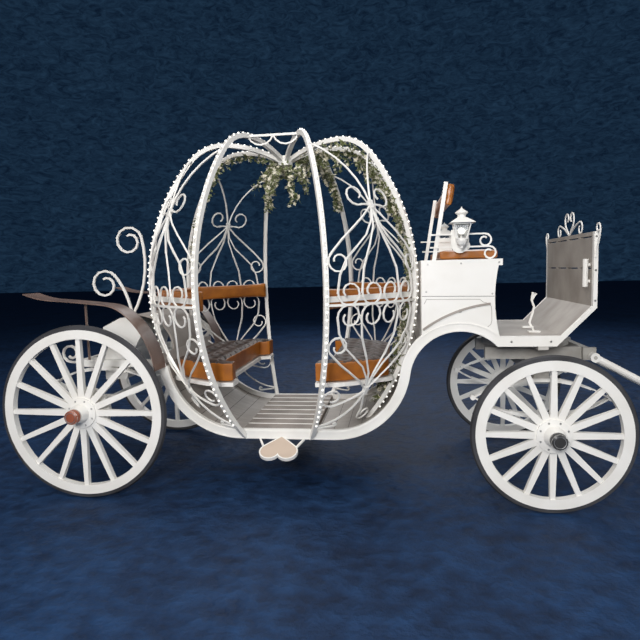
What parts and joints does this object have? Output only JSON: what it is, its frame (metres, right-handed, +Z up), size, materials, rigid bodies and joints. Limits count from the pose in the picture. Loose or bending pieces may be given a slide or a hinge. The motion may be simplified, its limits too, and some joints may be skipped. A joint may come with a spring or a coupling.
{
  "type": "horse-drawn pumpkin carriage",
  "caption": "White wrought-iron carriage with a round ribbed scrollwork cage, facing leather seats, driver's box, spoked wheels, leaf springs and a pair of shafts.",
  "frame": {"origin": "on the ground under the middle of the whole carriage, shafts included", "axes": "+X forward towards the shafts, +Y to the carriage's left, +Z up"},
  "size_m": [5.341, 1.8178, 2.335],
  "materials": {
    "white_paint": "semi-gloss warm white enamel on iron and wood",
    "floor_paint": "satin grey-taupe floor paint",
    "slat_wood": "weathered grey-brown slats",
    "leather": "amber-brown buttoned leather",
    "tyre_rubber": "black solid rubber",
    "iron": "grey-brown greased iron",
    "lamp_glass": "clear bevelled glass",
    "shaft_paint": "white enamel poles"
  },
  "bodies": {
    "carriage": {"box_mouldings": "floor_paint", "brake_lever": "white_paint", "cage_crown": "white_paint", "cage_front_left": "white_paint", "cage_front_right": "white_paint", "cage_rear_left": "white_paint", "cage_rear_right": "white_paint", "dash": "floor_paint", "dash_crest": "white_paint", "door_steps": "white_paint", "door_ties": "white_paint", "driver_back_pad": "leather", "driver_box": "white_paint", "driver_cushion": "leather", "driver_seat_irons": "white_paint", "driver_side_rails": "white_paint", "entry_floor": "slat_wood", "footboard": "floor_paint", "front_back_pad": "leather", "front_back_rail": "white_paint", "front_bench": "white_paint", "front_pan": "floor_paint", "front_seat_cushion": "leather", "lamp_glass": "lamp_glass", "lanterns": "white_paint", "left_side_frame": "white_paint", "rear_axle": "white_paint", "rear_back_pad": "leather", "rear_back_rail": "white_paint", "rear_bench": "white_paint", "rear_fenders": "floor_paint", "rear_pan": "floor_paint", "rear_panel": "floor_paint", "rear_rails": "white_paint", "rear_scrolls": "white_paint", "rear_seat_cushion": "leather", "rear_springs": "white_paint", "right_side_frame": "white_paint", "step_treads": "floor_paint", "trunk": "white_paint", "upper_ring": "iron", "whip_socket": "white_paint"},
    "fore_carriage": {"fore_frame": "iron", "front_axle": "white_paint", "front_springs": "white_paint"},
    "rear_right_wheel_set": {"rear_right_wheel": "white_paint", "rear_right_tyre": "tyre_rubber"},
    "rear_left_wheel_set": {"rear_left_wheel": "white_paint", "rear_left_tyre": "tyre_rubber"},
    "front_right_wheel_set": {"front_right_wheel": "white_paint", "front_right_tyre": "tyre_rubber"},
    "front_left_wheel_set": {"front_left_wheel": "white_paint", "front_left_tyre": "tyre_rubber"},
    "shaft_pair": {"shafts": "shaft_paint"}
  },
  "joints": [
    {"name": "steering", "type": "hinge", "parent": "carriage", "child": "fore_carriage", "pos_m": [0.78143, 0, 0.9227], "axis": [0, 0, 1], "range_deg": [-35, 35]},
    {"name": "shaft_lift", "type": "hinge", "parent": "fore_carriage", "child": "shaft_pair", "pos_m": [1.14943, 0, 0.842], "axis": [0, -1, 0], "range_deg": [0, 35]},
    {"name": "rear_right_wheel_spin", "type": "hinge", "parent": "carriage", "child": "rear_right_wheel_set", "pos_m": [-2.10557, -0.75, 0.565], "axis": [0, 1, 0], "continuous": true},
    {"name": "rear_left_wheel_spin", "type": "hinge", "parent": "carriage", "child": "rear_left_wheel_set", "pos_m": [-2.10557, 0.75, 0.565], "axis": [0, 1, 0], "continuous": true},
    {"name": "front_right_wheel_spin", "type": "hinge", "parent": "fore_carriage", "child": "front_right_wheel_set", "pos_m": [0.78143, -0.75, 0.465], "axis": [0, 1, 0], "continuous": true},
    {"name": "front_left_wheel_spin", "type": "hinge", "parent": "fore_carriage", "child": "front_left_wheel_set", "pos_m": [0.78143, 0.75, 0.465], "axis": [0, 1, 0], "continuous": true}
  ]
}
